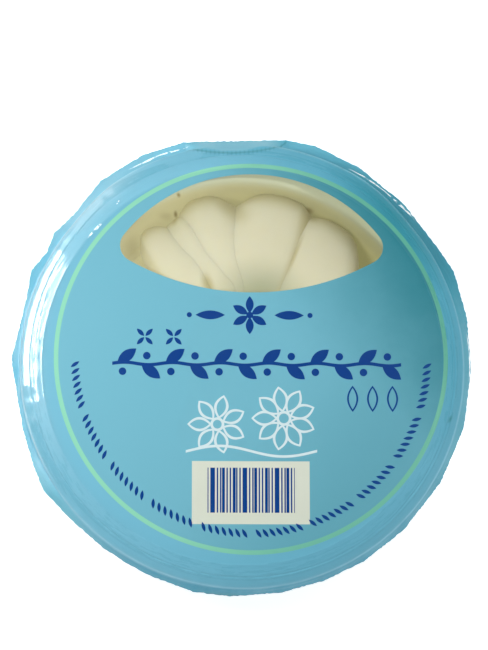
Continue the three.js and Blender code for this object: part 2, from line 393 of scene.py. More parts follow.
# Scales under the window, from right to left. "edges" are (radius, lesser degree, greater degree) about the
# bulb, from the tip out to the bulge; "ends" are (degree, radius) along the bulge; "tilt" lifts the edge at
# the greater degree, "lift" the whole back, "under" is how many degrees each edge goes on beneath its
# neighbour, and "shaded" is how tan each edge is painted: partly the scale's own tan, partly painted shade
# where it goes under its neighbour.
WINDOW_SCALES = ({
    "node": "outer_scale_1", "tilt": 1.6, "lift": 0.0, "under": (0.5, 3.0), "shaded": (0.2, 0.1),
    "edges": ((10.5, 0, 54), (18, 8, 55.2), (32, 20, 60.6), (37, 31, 62.4), (41, 38, 63.4), (44.5, 44, 64)),
    "ends": ((36, 41.5), (41, 44.4), (46.3, 45.6), (55.3, 45.0), (61, 43.4), (67, 41.5)),
}, {
    "node": "outer_scale_2", "tilt": 0.7, "lift": 0.5, "under": (5.0, 6.0), "shaded": (0.95, 0.0),
    "edges": ((10.5, 53, 94), (15.8, 54, 94.3), (24, 57, 96.7), (32, 60, 96), (36, 62, 94.9), (42, 65, 92.5)),
    "ends": (
        (59, 41.5), (63, 43.4), (67, 45.4), (72.8, 46.2), (80.2, 45.8), (85.9, 44.3), (91.8, 41.6),
        (96, 39.5),
    ),
}, {
    "node": "outer_scale_3", "tilt": 0.9, "lift": 0.1, "under": (6.0, 5.5), "shaded": (0.1, 0.1),
    "edges": (
        (10.5, 95, 96.5), (16, 94.3, 99), (19, 95.2, 105.7), (23.5, 96.7, 109.3), (28.8, 96.4, 113.8),
        (33.4, 95.6, 115.3), (38, 94.3, 116.4), (43, 92.7, 117.5),
    ),
    "ends": (
        (89, 39.4), (93, 40.6), (97, 42.6), (101, 44.6), (105, 45.6), (111, 45.5), (117, 42.5), (119.5, 40.5),
    ),
}, {
    "node": "outer_scale_4", "tilt": 0.0, "lift": -0.2, "under": (6.0, 6.0), "shaded": (0.1, 0.2),
    "size": 0.96,
    "edges": ((10.5, 94, 121), (16, 99, 122), (19, 105.7, 123), (28.8, 113.8, 123.6), (38, 116.4, 124.6)),
    "ends": ((113, 42.0), (119, 42.0), (125, 41.0)),
}, {
    "node": "outer_scale_5", "tilt": -0.4, "lift": 0.1, "under": (6.0, 0.5), "shaded": (0.2, 0.4),
    "edges": (
        (10.5, 127, 158), (19, 127, 154), (24, 124.8, 151), (33, 123.6, 145.5), (38, 123.2, 141.5),
        (42, 124, 137),
    ),
    "ends": ((123, 40.5), (126.2, 43.0), (130.7, 44.6), (133.7, 44.3), (136, 42.8), (140, 40.2)),
})


def middle_line(line, t, size):
    """Radius, height and heading along a scale's middle line, with its pulls stretched by size."""
    (r0, z0), (r1, z1), (r2, z2), (r3, z3) = line
    r1, r2 = r1 * size, r2 * size
    s = 1 - t
    radius = s ** 3 * r0 + 3 * s * s * t * r1 + 3 * s * t * t * r2 + t ** 3 * r3
    height = s ** 3 * z0 + 3 * s * s * t * z1 + 3 * s * t * t * z2 + t ** 3 * z3
    run_r = 3 * s * s * (r1 - r0) + 6 * s * t * (r2 - r1) + 3 * t * t * (r3 - r2)
    run_z = 3 * s * s * (z1 - z0) + 6 * s * t * (z2 - z1) + 3 * t * t * (z3 - z2)
    length = np.hypot(run_r, run_z)
    return radius, height, run_r / length, run_z / length


def scale(spec, line, half_thickness, material, seed):
    """One fleshy scale: full across its back, flatter inside, thin at its edges, root and tip."""
    t = np.linspace(0, 1, SCALE_ALONG + 1)[1:-1, None]
    turn = np.linspace(0, math.tau, SCALE_AROUND, endpoint=False)[None, :]
    radius, height, run_r, run_z = middle_line(line, t, spec.get("size", 1.0))
    bulge = int(np.argmax(radius))
    outwards = radius.copy()
    outwards[:bulge] = radius.max()
    radii, lows, highs = zip(*spec["edges"])
    widened = np.clip(UNDER_RADIUS / outwards, 1.0, 2.2)
    low = np.interp(outwards, radii, lows) - spec["under"][0] * widened
    high = np.interp(outwards, radii, highs) + spec["under"][1] * widened
    girth = np.sin(math.pi * t)
    across = np.cos(turn) * girth ** np.where(t > 0.5, 0.07, 0.3)
    through = np.sin(turn) * girth ** 0.42
    swell = half_thickness * through * np.where(through > 0, 1.0, 0.75)
    swell = swell + (spec["tilt"] * across + spec["lift"]) * girth
    azimuth = np.radians((low + high) / 2 + (high - low) / 2 * across)
    out = radius + run_z * swell
    up = height - run_r * swell
    if "ends" in spec:
        reach = np.max(out, axis=0)
        reach = np.maximum(reach, reach[(-np.arange(SCALE_AROUND)) % SCALE_AROUND])
        wanted = np.interp(np.degrees(azimuth[bulge]), *zip(*spec["ends"]))
        out = out + (wanted - reach) * step_up(out, 14, 40)
    x, y = out * np.cos(azimuth), out * np.sin(azimuth)
    grain = 0.5 * girth * np.array([
        [noise.noise(Vector((a / 13, b / 13, c / 9 + seed))) for a, b, c in zip(*ring)]
        for ring in zip(x, y, up)
    ])
    side = run_z * grain
    rings = np.stack([
        BULB_X + x + side * np.cos(azimuth),
        BULB_Y + y + side * np.sin(azimuth),
        up - run_r * grain,
    ], axis=2)
    points, faces = ringed(rings, close_start=True, close_end=True, flipped=True)
    made = piece(spec["node"] + "_flesh", points, (faces,), (material,), spec["node"])
    # Painted shade, partly the scale's own tan, at the edges that go under a neighbour
    shade = np.where(across < 0, spec["shaded"][0], spec["shaded"][1]) * step_up(np.abs(across), 0.5, 0.82)
    kept = made.data.attributes.new("shaded_edge", "FLOAT", "POINT")
    kept.data.foreach_set("value", np.concatenate([shade.ravel(), np.zeros(2)]))
    return made


def hidden_scale(node, edges, bulge, number, tilt, lift):
    """What scale() needs for a scale away from the window."""
    middle, swing, turn = bulge
    return {
        "node": node, "edges": edges, "under": (0.8, 0.8), "shaded": (0.4, 0.4),
        "size": middle + swing * math.sin(turn * number), "tilt": tilt, "lift": lift,
    }


def outer_scales(material):
    made = [
        scale(spec, OUTER_LINE, OUTER_HALF_THICKNESS, material, 3.0 + 7 * i)
        for i, spec in enumerate(WINDOW_SCALES)
    ]
    draw = random.Random(4)
    pitch = (OTHERS_END - OTHERS_START) / OTHER_OUTER_SCALES
    for i in range(OTHER_OUTER_SCALES):
        low = OTHERS_START + pitch * i
        lean = draw.uniform(-3, 3)
        less, more = NARROWED.get(i, (0.0, 0.0))
        ends = low + less, low + pitch - more
        edges = (10.5, low + lean, low + pitch + lean), (30, *ends), (44, *ends)
        tilt = draw.uniform(0.25, 0.55) * (-1) ** i
        lift = draw.uniform(-0.3, 0.2)
        spec = hidden_scale(f"outer_scale_{len(made) + 1}", edges, OUTER_BULGE, i + 1, tilt, lift)
        made.append(scale(spec, OUTER_LINE, OUTER_HALF_THICKNESS, material, 60.0 + 7 * i))
    return made


def second_scales(material):
    draw = random.Random(9)
    pitch = 360 / SECOND_SCALES
    made = []
    for i in range(SECOND_SCALES):
        low, high = pitch * (i - 0.5), pitch * (i + 0.5)
        edges = (10.5, low, high), (36, low, high)
        tilt = draw.uniform(-0.3, 0.3)
        spec = hidden_scale(f"second_scale_{i + 1}", edges, SECOND_BULGE, i + 1, tilt, 0.0)
        made.append(scale(spec, SECOND_LINE, SECOND_HALF_THICKNESS, material, 160.0 + 7 * i))
    return made


def turned(profile, lobes, depth, seed, around=72):
    """A turned form with uneven lobes round it, standing at the bulb's middle."""
    sway = ripple(seed, (lobes, depth), (lobes * 2 + 1, depth * 0.4))
    angles = np.linspace(0, math.tau, around, endpoint=False)
    rings = []
    for radius, height in smooth_line(profile, 4):
        reach = radius * (1 + sway(angles))
        rings.append(np.stack([
            BULB_X + reach * np.cos(angles), BULB_Y + reach * np.sin(angles), np.full(around, height),
        ], axis=1))
    return ringed(rings, close_start=True, close_end=True)


def heart_scales(material):
    points, faces = turned(HEART_PROFILE, 5, 0.035, 51)
    return piece("heart_flesh", points, (faces,), (material,), "heart_scales")


def basal_plate(material):
    points, faces = turned(PLATE_PROFILE, 9, 0.018, 57)
    return piece("basal_disc", points, (faces,), (material,), "basal_plate")


# ---- shader expressions


def fill(tree, held, given):
    """Links a value to a node's input, or sets a plain number or colour on it."""
    if isinstance(given, Value):
        tree.links.new(given.socket, held)
    else:
        held.default_value = given


class Value:
    """A number in a shader: sums and products of it add the Math nodes that work them out."""

    def __init__(self, tree, socket):
        self.tree = tree
        self.socket = socket

    def math(self, operation, *others, clamp=False):
        return self.worked_out(operation, (self, *others), clamp)

    def worked_out(self, operation, numbers, clamp=False):
        node = self.tree.nodes.new("ShaderNodeMath")
        node.operation = operation
        node.use_clamp = clamp
        for held, given in zip(node.inputs, numbers):
            fill(self.tree, held, given)
        return Value(self.tree, node.outputs[0])

    def __add__(self, other):
        return self.math("ADD", other)

    def __sub__(self, other):
        return self.math("SUBTRACT", other)

    def __mul__(self, other):
        return self.math("MULTIPLY", other)

    def __pow__(self, other):
        return self.math("POWER", other)

    def __mod__(self, other):
        return self.math("FLOORED_MODULO", other)

    def __rsub__(self, other):
        return self.worked_out("SUBTRACT", (other, self))

    def __neg__(self):
        return self.math("MULTIPLY", -1.0)

    def __abs__(self):
        return self.math("ABSOLUTE")

    __radd__ = __add__
    __rmul__ = __mul__

    def over(self, *others):
        """The greatest of all."""
        return reduce(lambda most, other: most.math("MAXIMUM", other), others, self)

    def under(self, other):
        """The lesser of the two."""
        return self.math("MINIMUM", other)

    def inked(self, softness=0.07):
        """1 where the value is above nought, 0 below it, with an edge so soft."""
        return self.math("MULTIPLY_ADD", 1 / softness, 0.5, clamp=True)


class Finish:
    """A material, or the studio's surroundings, under construction."""

    def __init__(self, name, kept_in=bpy.data.materials, output="ShaderNodeOutputMaterial"):
        self.made = kept_in.new(name)
        self.made.use_nodes = True
        self.tree = self.made.node_tree
        self.tree.nodes.clear()
        self.output = self.tree.nodes.new(output)

    def node(self, kind, settings=None, sockets=None):
        """Adds a node; gives its outputs by name or identifier."""
        node = self.tree.nodes.new(kind)
        for key, value in (settings or {}).items():
            setattr(node, key, value)
        for key, value in (sockets or {}).items():
            fill(self.tree, next(s for s in node.inputs if key in (s.identifier, s.name)), value)
        outputs = {}
        for socket in node.outputs:
            outputs[socket.identifier] = Value(self.tree, socket)
            outputs.setdefault(socket.name, outputs[socket.identifier])
        return outputs

    def place(self):
        """The point's place on the pack, in metres."""
        return self.node("ShaderNodeTexCoord")["Object"]

    def along(self, vector):
        """A vector's three numbers, in millimetres."""
        parts = self.node("ShaderNodeSeparateXYZ", sockets={"Vector": vector})
        return tuple(parts[axis] * (1 / MM) for axis in "XYZ")

    def cloud(self, vector, size_mm, detail=3.0, roughness=0.55):
        """Soft noise from 0 to 1, with blotches of about that size."""
        return self.node("ShaderNodeTexNoise", None, {
            "Vector": vector, "Scale": 1 / (size_mm * MM), "Detail": detail, "Roughness": roughness,
        })["Fac"]

    def polar(self, x, y, per_mm, per_turn):
        """A vector that runs with the distance from the axis and with the turn round it."""
        turn = y.math("ARCTAN2", x)
        return self.node("ShaderNodeCombineXYZ", None, {
            "X": distance(x, y) * per_mm,
            "Y": turn.math("SINE") * per_turn,
            "Z": turn.math("COSINE") * per_turn,
        })["Vector"]

    def rise(self, value, start, end):
        """0 before start, 1 after end, and a smooth rise between."""
        return self.node("ShaderNodeMapRange", {"interpolation_type": "SMOOTHSTEP"}, {
            "Value": value, "From Min": start, "From Max": end,
        })["Result"]

    def stretched(self, vector, scale):
        return self.node("ShaderNodeVectorMath", {"operation": "MULTIPLY"}, {
            "Vector": vector, "Vector_001": scale,
        })["Vector"]

    def blend(self, factor, first, second):
        """From the first colour to the second."""
        return self.node("ShaderNodeMix", {"data_type": "RGBA"}, {
            "Factor_Float": factor,
            "A_Color": first if isinstance(first, Value) else (*first, 1),
            "B_Color": second if isinstance(second, Value) else (*second, 1),
        })["Result_Color"]

    def bump(self, height, depth_mm, strength=1.0):
        return self.node("ShaderNodeBump", None, {
            "Height": height, "Distance": depth_mm * MM, "Strength": strength,
        })["Normal"]

    def surface(self, **sockets):
        """Ends the material on one Principled surface."""
        named = {key.replace("_", " "): value for key, value in sockets.items()}
        return self.ended(self.node("ShaderNodeBsdfPrincipled", None, named)["BSDF"])

    def ended(self, shader):
        self.tree.links.new(shader.socket, self.output.inputs["Surface"])
        return self.made


# ---- print on the lid film

LABEL_BLUE = (0.185, 0.525, 0.655)
LABEL_PALE = (0.21, 0.58, 0.72)
# Painted shade of the label's blue, towards the upper right and the bottom
LABEL_SHADE_BLUE = (0.014, 0.225, 0.280)
RIM_BLUE = (0.190, 0.550, 0.720)
# Painted shade of the rim's blue
RIM_SHADE_BLUE = (0.085, 0.420, 0.570)
# Painted shade, darker, on the rim at the upper right
RIM_SHADE_DARK = (0.020, 0.285, 0.365)
WEB_PALE = (0.265, 0.740, 0.870)
# Painted shade of the web and edge, at the right and at the near side
EDGE_SHADE_RIGHT = (0.045, 0.375, 0.505)
EDGE_SHADE_NEAR = (0.015, 0.330, 0.490)
RING_GREEN = (0.300, 0.760, 0.540)
# Painted shade of the ring's green
RING_SHADE_GREEN = (0.10, 0.45, 0.34)
PULLED_BLUE = (0.12, 0.50, 0.65)
# Painted shade in the fold's crease and its ticks
CREASE_SHADE_BLUE = (0.050, 0.30, 0.37)
# Painted sheen on the shoulder at the upper left
SHEEN_BLUE = (0.42, 0.72, 0.84)
# A smudge, and painted shade along the near edge
SMUDGE_AND_SHADE_BLUE = (0.05, 0.28, 0.34)
INK_NAVY = (0.0, 0.050, 0.270)
LINE_WHITE = (0.78, 0.92, 0.94)
# White and glow of the crimp and scratch lines: painted glints
WORN_AND_GLINT_WHITE = (0.92, 0.97, 0.98)
GLINT_GLOW = (0.35, 0.37, 0.37)
PANEL_WHITE = (0.775, 0.825, 0.70)

BAND_PITCH = 7.0
BAND_Y = -2.0
BAND_HALF_LENGTH = 42.0
ARC_RADIUS = 51.2
ARC_PITCH_DEG = 2.24
ARC_SEEDS = 79
PANEL_MIDDLE = (-0.2, -39.4)
PANEL_HALF = (17.0, 9.1)
BARS_HALF = (12.6, 6.5)
BARS_Y = -38.7
LINE_HALF_WIDTH = 0.38


def turned_frame(x, y, degrees):
    """Plan coordinates turned by an angle."""
    c, s = math.cos(math.radians(degrees)), math.sin(math.radians(degrees))
    return x * c + y * s, y * c - x * s


def leaf(a, b, half_length, half_width):
    """How far inside a pointed leaf a place is; a runs along it and b across."""
    return (1 - (a * (1 / half_length)) ** 2) * half_width - abs(b)


def distance(x, y):
    return (x * x + y * y) ** 0.5


def leaf_band(x, y, half_length):
    """Leaves in turn above and below a stem, with a berry across from each."""
    sign = 1 - (x * (1 / BAND_PITCH)).math("FLOOR") % 2 * 2
    u = x % BAND_PITCH - BAND_PITCH / 2
    v = y * sign
    a, b = turned_frame(u - 0.7, v - 2.2, 38)
    leaves = leaf(a, b, 3.5, 1.6)
    berry = 1.1 - distance(u + 0.5, v + 2.3)
    stem = 0.5 - abs(y - (x * (math.pi / BAND_PITCH)).math("SINE") * 0.35)
    return leaves.over(berry, stem).under(half_length - abs(x))


def petal_ring(x, y, count, middle, half_length, half_width):
    """Leaves standing in a ring round a point."""
    turn = y.math("ARCTAN2", x)
    step = math.tau / count
    swing = turn % step - step / 2
    reach = distance(x, y)
    a = reach * swing.math("COSINE") - middle
    b = reach * swing.math("SINE")
    return leaf(a, b, half_length, half_width)


def navy_ornament(x, y):
    """A band of leaves with a rosette, sprigs and buds above it and pods below."""
    band = leaf_band(x - 1.6, y - BAND_Y, BAND_HALF_LENGTH)
    middle_y = y - 12.4
    rosette = petal_ring(x + 0.5, middle_y, 6, 3.1, 2.5, 1.15).over(1.0 - distance(x + 0.5, middle_y))
    side = abs(x + 0.5)
    sprigs = leaf(side - 11.5, middle_y, 4.3, 1.3).over(0.75 - distance(side - 17.6, middle_y))
    buds = petal_ring(abs(x + 26.8) - 4.2, y - 5.9, 4, 1.75, 1.5, 0.62)
    pods = (0.27 - abs(leaf(y + 12.0, (x - 26.5) % 5.8 - 2.9, 3.5, 1.35))).under(8.7 - abs(x - 35.2))
    return band.over(rosette, sprigs, buds, pods)


def navy_arc(x, y):
    """A run of slanted seeds in rows of seven round the lower half, inside the ring."""
    turn = y.math("ARCTAN2", x)
    seeds = (turn * (180 / math.pi) + 90) * (1 / ARC_PITCH_DEG) + ARC_SEEDS / 2
    along = (seeds % 1.0 - 0.5) * (ARC_PITCH_DEG * ARC_RADIUS * math.pi / 180)
    out = distance(x, y) - ARC_RADIUS
    a, b = turned_frame(along, out, 58)
    row = 6.5 - seeds.math("FLOOR") % 8
    return leaf(a, b, 1.5, 0.50).under(row).under(ARC_SEEDS / 2 - abs(seeds - ARC_SEEDS / 2))


def white_blossoms(x, y):
    """Two open blossoms drawn in line, with a wavy stem under them."""
    drawn = []
    for middle_x, middle_y, count, size in ((-9.9, -19.6, 7, 1.1), (9.4, -17.8, 9, 1.2)):
        dx, dy = x - middle_x, y - middle_y
        petals = petal_ring(dx, dy, count, 4.7 * size, 2.9 * size, 1.55 * size)
        eye = abs(distance(dx, dy) - 1.5 * size)
        drawn.append((LINE_HALF_WIDTH - abs(petals)).over(LINE_HALF_WIDTH - eye))
    stem = LINE_HALF_WIDTH - abs(y + 27.4 + (x * 0.17).math("SINE") * 1.5)
    return drawn[0].over(drawn[1], stem.under(19.0 - abs(x)))


def bars(x, y):
    """Plain upright bars in two beats."""
    fine = 0.21 - abs(x % 0.93 - 0.4)
    broad = 0.42 - abs(x % 3.1 - 1.2)
    tall = (BARS_HALF[1] - abs(y - BARS_Y)).under(BARS_HALF[0] - abs(x + 0.1))
    return fine.over(broad).under(tall)


def spotted(finish, x, y, spots):
    """Soft oval spots: (x, y, half length, half width, degrees, strength)."""
    seen = []
    for spot_x, spot_y, half_length, half_width, degrees, strength in spots:
        a, b = turned_frame(x - spot_x, y - spot_y, degrees)
        away = distance(a * (1 / half_length), b * (1 / half_width))
        seen.append((1 - finish.rise(away, 0.0, 1.0)) * strength)
    return seen[0].over(*seen[1:])


# Marks on the lid film, for spotted(): a painted sheen; scratches; a smudge, and painted shade along the near
# edge;
# painted shade at the upper right; crimp lines painted as glints; a dull patch at the fold's end
SHEEN_SPOT = ((-43.5, 49.5, 28.0, 7.0, 41, 1.0),)
SCRATCHED = (
    (-43.6, 38.9, 4.6, 0.45, 50, 1.0), (-42.6, 39.6, 3.6, 0.4, 48, 0.9), (-36.8, 47.4, 1.2, 0.3, 60, 0.9),
)
SMUDGE_AND_EDGE_SHADE = ((60.2, -15.8, 1.9, 0.7, 66, 0.9), (-9.0, -67.0, 20.0, 1.6, -2, 1.0))
RIM_SHADE_SPOT = ((46.0, 42.0, 34.0, 15.0, -47, 0.85),)
CRIMPED = (
    (42.3, 53.2, 17.0, 5.0, -39, 1.0), (-24.6, 63.4, 13.0, 5.0, 21, 1.0), (67.2, 1.5, 12.0, 5.0, 90, 1.0),
)
FOLD_END = ((-18.5, 63.0, 8.0, 6.0, 0, 1.0),)

# The far side's fold, the crimped line in the edge, and the shoulder with its groove
FOLD_Y, PULLED_HALF_LENGTH = 62.75, 16.0
CREASE_HALF_LENGTH, TICK_PITCH = 14.5, 1.25
CRIMP_RADIUS, GROOVE_RADIUS = 68.0, 61.75
SHOULDER_START = (57.8, 59.0)


def label_print(finish, place, x, y):
    """The label's colour, with its print and painted shade, and 1 outside its ring."""
    px, py = x - PRINT_X, y - PRINT_Y
    reach = distance(px, py)
    on_rim = (reach - RING_RADIUS).inked(0.8)
    mottle = finish.cloud(place, 9.0)
    grain = finish.cloud(place, 0.35, 2.0)
    # Painted shade: deeper towards the upper right, lower towards the bottom
    deeper = finish.rise(px * 0.85 + py * 0.5 + mottle * 8.0, 13.0, 70.0)
    lower = finish.rise(px * 0.8 - py * 0.6, 5.0, 50.0) * 0.28
    shade = deeper.over(lower)
    ground = finish.blend(mottle * 0.10 + grain * 0.06, LABEL_BLUE, LABEL_PALE)
    ground = finish.blend(shade, ground, LABEL_SHADE_BLUE)
    ground = finish.blend(on_rim, ground, finish.blend(shade, RIM_BLUE, RIM_SHADE_BLUE))
    # Painted shade on the rim at the upper right
    ground = finish.blend(spotted(finish, x, y, RIM_SHADE_SPOT) * on_rim, ground, RIM_SHADE_DARK)
    ring = (RING_HALF_WIDTH - abs(reach - RING_RADIUS)).inked()
    colour = finish.blend(ring, ground, finish.blend(deeper.over(lower * 2.0), RING_GREEN, RING_SHADE_GREEN))
    from_panel = abs(px - PANEL_MIDDLE[0]), abs(py - PANEL_MIDDLE[1])
    on_panel = (PANEL_HALF[0] - from_panel[0]).under(PANEL_HALF[1] - from_panel[1]).inked()
    colour = finish.blend(white_blossoms(px, py).inked() * 0.92, colour, LINE_WHITE)
    colour = finish.blend(on_panel, colour, PANEL_WHITE)
    navy = navy_ornament(px, py).over(navy_arc(px, py)).inked().over(bars(px, py).inked())
    return finish.blend(navy, colour, INK_NAVY), on_rim


def web_colour(finish, colour, x, y, out):
    """The colour, paler on the web at the left, and with painted shade on the web at the right and near
    sides.
    """
    to_near = finish.rise(-y, 20.0, 60.0)
    # Painted shade: towards the right, less at the far side, and towards the near side
    shaded_sides = (finish.rise(x, 0.0, 50.0) * (1 - finish.rise(y, 10.0, 45.0) * 0.4)).over(to_near)
    blue = finish.blend(shaded_sides, WEB_PALE, finish.blend(to_near, EDGE_SHADE_RIGHT, EDGE_SHADE_NEAR))
    on_web = (out - 65.0 - (1 - shaded_sides) * 0.6).inked(0.5)
    return finish.blend(on_web * (shaded_sides * 0.75 + 0.2), colour, blue)


def fold_marks(x, y):
    """1 past the far side's fold, and 1 on the ticked crease along it."""
    from_fold = y - FOLD_Y - (x + 4.0) ** 2 * 0.011 - (x - 8.0).over(0.0) ** 2 * 0.075
    from_middle = abs(x + 0.7)
    ticks = ((x * (math.tau / TICK_PITCH)).math("SINE") + 0.3).over(0.0) * (0.8 - abs(from_fold)).inked(0.8)
    crease = (0.3 - abs(from_fold)).inked(0.4) * 0.8 + ticks * 0.3
    pulled = from_fold.inked(0.6) * (PULLED_HALF_LENGTH - from_middle).inked(1.0)
    return pulled, crease * (CREASE_HALF_LENGTH - from_middle).inked(3.0)


def worn_and_glint_lines(finish, place, x, y, out, hoops):
    """1 on the crimp and scratch lines in the film, which are painted white and glowing as glints."""
    crimp_radius = CRIMP_RADIUS - finish.rise(x, 50.0, 62.0) * 0.8 + (hoops - 0.5) * 1.5
    crimp = (0.16 - abs(out - crimp_radius)).inked(0.12) * (spotted(finish, x, y, CRIMPED) - 0.25).inked(0.3)
    scratch = (spotted(finish, x, y, SCRATCHED) - 0.35).inked(0.3)
    return crimp.over(scratch) * (finish.cloud(place, 1.8, 2.0) - 0.44).inked(0.1)


def dull_places(finish, x, y, out, hoops):
    """1 where the shoulder has lost its gloss."""
    streaks = finish.rise(hoops - (out - 61.0) * 0.035, 0.47, 0.54) * (0.9 - abs(out - 60.6) * 0.22)
    inner_upper = (62.0 - out).inked(0.4) * finish.rise(y, 28.0, 33.0) * 0.85
    in_groove = (0.45 - abs(out - GROOVE_RADIUS)).inked(0.3) * finish.rise(x, 0.0, 20.0) * 0.9
    return streaks.over(inner_upper, in_groove, spotted(finish, x, y, FOLD_END))


def printed_film():
    """Glossy film: matt on the wall and the web, dull in streaks on the shoulder, with crimp lines painted as
    glints.
    """
    finish = Finish("printed_film")
    place = finish.place()
    x, y, _ = finish.along(place)
    out = distance(x, y)
    hoops = finish.cloud(finish.polar(x, y, 1.3, 9.0), 1 / MM, 4.0, 0.65)
    waves = finish.cloud(place, 16.0, 2.0, 0.4)
    scuffs = finish.cloud(finish.stretched(place, (1.0, 5.0, 1.0)), 3.0, 4.0, 0.7)
    colour, on_rim = label_print(finish, place, x, y)
    colour = web_colour(finish, colour, x, y, out)
    # Painted sheen on the rim at the upper left
    colour = finish.blend(spotted(finish, x, y, SHEEN_SPOT) * on_rim * 0.6, colour, SHEEN_BLUE)
    # A smudge at the right, and painted shade along the near edge
    colour = finish.blend(spotted(finish, x, y, SMUDGE_AND_EDGE_SHADE), colour, SMUDGE_AND_SHADE_BLUE)
    pulled, on_crease = fold_marks(x, y)
    colour = finish.blend(pulled * 0.7, colour, PULLED_BLUE)
    # Painted shade in the fold's crease and its ticks
    colour = finish.blend(on_crease * 0.6, colour, CREASE_SHADE_BLUE)
    white = worn_and_glint_lines(finish, place, x, y, out, hoops)
    # Painted glints on the crimp and scratch lines
    colour = finish.blend(white, colour, WORN_AND_GLINT_WHITE)
    on_shoulder = finish.rise(out, *SHOULDER_START)
    dull = dull_places(finish, x, y, out, hoops) * on_shoulder
    stepped = finish.rise(x, -45.0, -20.0).over(finish.rise(-y, 25.0, 50.0))
    matt_from = finish.rise(y, 40.0, 53.0) * 1.1 + 64.5 - stepped * 1.9
    matt = finish.rise(out - matt_from, 0.0, 0.6).over(pulled)
    return finish.surface(
        Base_Color=colour,
        Roughness=0.18 + scuffs * 0.12 + matt * 0.25 + dull * 0.4,
        Specular_IOR_Level=0.35,
        Coat_Weight=(0.9 - matt * 0.85) * (1 - dull),
        Coat_Roughness=0.04,
        # Painted glints: the crimp and scratch lines glow
        Emission_Color=finish.blend(white, (0.0, 0.0, 0.0), GLINT_GLOW),
        Emission_Strength=1.0,
        Normal=finish.bump(waves * 0.9 + hoops * on_shoulder * 1.1, 0.35, 0.5),
    )


def plain_film(name, grain_mm, first, second, roughness):
    """Film without print, with a grain from one colour to the other."""
    finish = Finish(name)
    grain = finish.cloud(finish.place(), grain_mm)
    return finish.surface(Base_Color=finish.blend(grain, first, second), Roughness=roughness + grain * 0.1)


def film_inside():
    """The inner side of the film, white from the ink's backing."""
    return plain_film("film_inside", 9.0, (0.78, 0.78, 0.68), (0.70, 0.70, 0.60), 0.35)


def film_cut_edge():
    return plain_film("film_cut_edge", 0.8, (0.035, 0.20, 0.26), (0.07, 0.30, 0.38), 0.45)


def base_film_finish():
    finish = Finish("base_film_blue")
    place = finish.place()
    x, y, _ = finish.along(place)
    mottle = finish.cloud(place, 7.0)
    colour = finish.blend(mottle * 0.25, LABEL_BLUE, (0.22, 0.60, 0.74))
    on_web = (distance(x, y) - 65.6).inked(0.5)
    colour = finish.blend(on_web * 0.5, colour, (0.40, 0.74, 0.88))
    crinkle = finish.cloud(finish.stretched(place, (1.0, 1.0, 0.35)), 3.2, 4.0, 0.6)
    return finish.surface(
        Base_Color=colour,
        Roughness=0.22 + mottle * 0.12,
        Coat_Weight=0.25,
        Coat_Roughness=0.08,
        Normal=finish.bump(crinkle, 0.5, 0.6),
    )


def clear_film():
    finish = Finish("clear_film")
    place = finish.place()
    waves = finish.cloud(place, 14.0, 2.0, 0.4)
    scratches = finish.cloud(finish.stretched(place, (1.0, 7.0, 1.0)), 1.6, 3.0, 0.6)
    return finish.surface(
        Base_Color=finish.blend(waves * 0.3, (0.90, 0.93, 0.90), (0.80, 0.86, 0.84)),
        Roughness=0.07 + scratches * 0.10,
        Alpha=0.03,
        Specular_IOR_Level=0.8,
        Normal=finish.bump(waves, 0.3, 0.5),
    )


# Tray: its colours, and a painted glow that stands in for the light that comes through its rim, wall and
# foot, at the right and at the left
TRAY_CREAM, TRAY_PALE = (0.44, 0.46, 0.31), (0.49, 0.51, 0.36)
# Painted shade, ochre, down the tray's wall below its rim
TRAY_SHADE_OCHRE = (0.53, 0.485, 0.225)
# Brown of the spots, partly stains and partly painted shade, and their lesser glow
STAIN_AND_SHADE_BROWN, STAIN_AND_SHADE_GLOW = (0.22, 0.17, 0.06), (0.07, 0.05, 0.0)
RIM_GLOW = (0.17, 0.19, 0.10), (0.0, 0.01, 0.02)
WALL_GLOW = (0.0, 0.012, 0.0), (0.20, 0.19, 0.12)
DEEP_GLOW = (0.10, 0.10, 0.03), (0.26, 0.25, 0.155)
# Brown spots: partly stains, partly painted shade in dark gaps and pits beside the scales
STAINS_AND_GAP_SHADE = (
    (-19.0, 50.4, 0.9, 0.6, 0, 1.0), (-19.6, 47.4, 0.9, 0.8, 0, 1.0), (-22.6, 46.4, 3.4, 1.0, 10, 0.25),
    (20.0, 48.0, 2.2, 0.7, -20, 0.8), (-32.3, 38.0, 4.5, 3.4, 50, 0.3),
)


def tray_plastic():
    finish = Finish("tray_cream")
    place = finish.place()
    x, y, z = finish.along(place)
    # A painted glow for light through the tray, stronger at the left
    left = finish.rise(-x, -45.0, 50.0)
    rim_glow, wall_glow, deep_glow = (finish.blend(left, *pair) for pair in (RIM_GLOW, WALL_GLOW, DEEP_GLOW))
    glow = finish.blend(finish.rise(-z, -31.0, -28.0), rim_glow, wall_glow)
    glow = finish.blend(finish.rise(-z, -25.0, -17.0), glow, deep_glow)
    haze = finish.cloud(place, 12.0)
    grain = finish.cloud(place, 0.5, 2.0)
    colour = finish.blend(haze, TRAY_CREAM, TRAY_PALE)
    # Painted shade, ochre, down the wall below the rim
    colour = finish.blend(finish.rise(-z, -30.2, -25.0) * 0.8, colour, TRAY_SHADE_OCHRE)
    # Partly stains, partly painted shade in gaps and pits
    stain_and_shade = spotted(finish, x, y, STAINS_AND_GAP_SHADE)
    colour = finish.blend(stain_and_shade, colour, STAIN_AND_SHADE_BROWN)
    glow = finish.blend(stain_and_shade, glow, STAIN_AND_SHADE_GLOW)
    return finish.surface(
        Base_Color=colour,
        Roughness=0.38 + grain * 0.14,
        Subsurface_Weight=0.25,
        Subsurface_Radius=(0.003, 0.0025, 0.0015),
        Subsurface_Scale=1.0,
        Emission_Color=glow,
        Emission_Strength=1.0,
        Normal=finish.bump(grain, 0.03, 0.5),
    )


